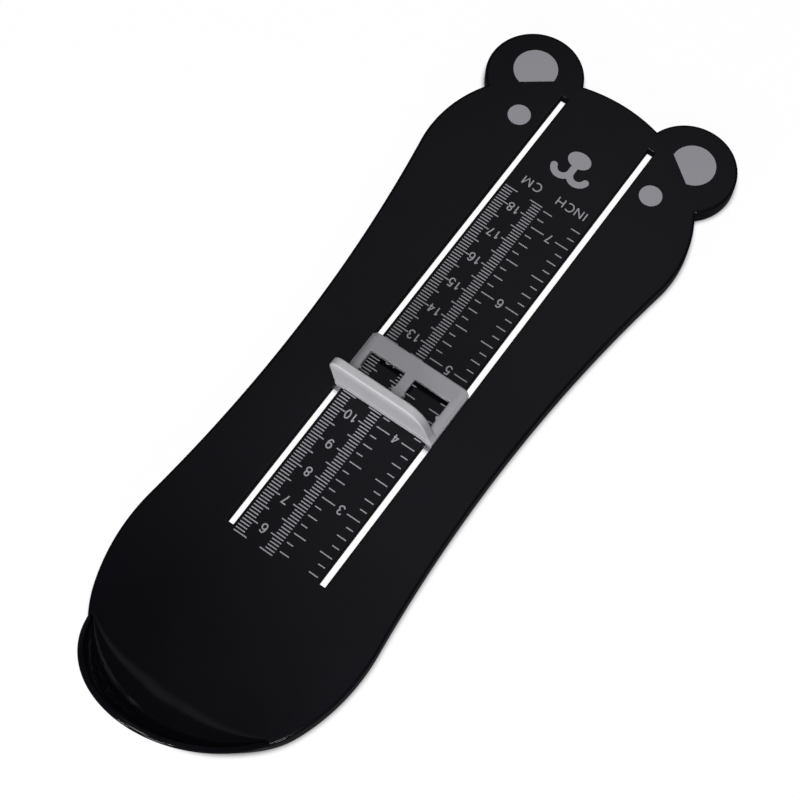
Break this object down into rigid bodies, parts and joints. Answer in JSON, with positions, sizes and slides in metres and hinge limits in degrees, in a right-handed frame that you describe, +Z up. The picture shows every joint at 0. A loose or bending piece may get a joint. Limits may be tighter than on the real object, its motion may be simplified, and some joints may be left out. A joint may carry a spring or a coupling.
{
  "type": "foot measuring device",
  "caption": "Bear-shaped board for measuring children's feet, with a raised heel cup and a windowed slider that runs in two long slots.",
  "frame": {"origin": "on the ground under the middle of the board's length and width", "axes": "+Z up from the ground to the deck, +Y along the board from the heel cup to the ears, +X to the right seen from the heel"},
  "size_m": [0.0844, 0.2428, 0.0286],
  "materials": {
    "board": "glossy black moulded ABS",
    "slider": "satin pale grey moulded ABS",
    "keeper": "satin pale grey moulded ABS",
    "print": "matt light grey printed ink on the deck"
  },
  "bodies": {
    "board": {"board": "board"},
    "slider": {"slider": "slider", "keeper": "keeper"}
  },
  "joints": [
    {"name": "slider_travel", "type": "slide", "parent": "board", "child": "slider", "axis": [0, 1, 0], "range_m": [-0.0493, 0.0957]}
  ]
}
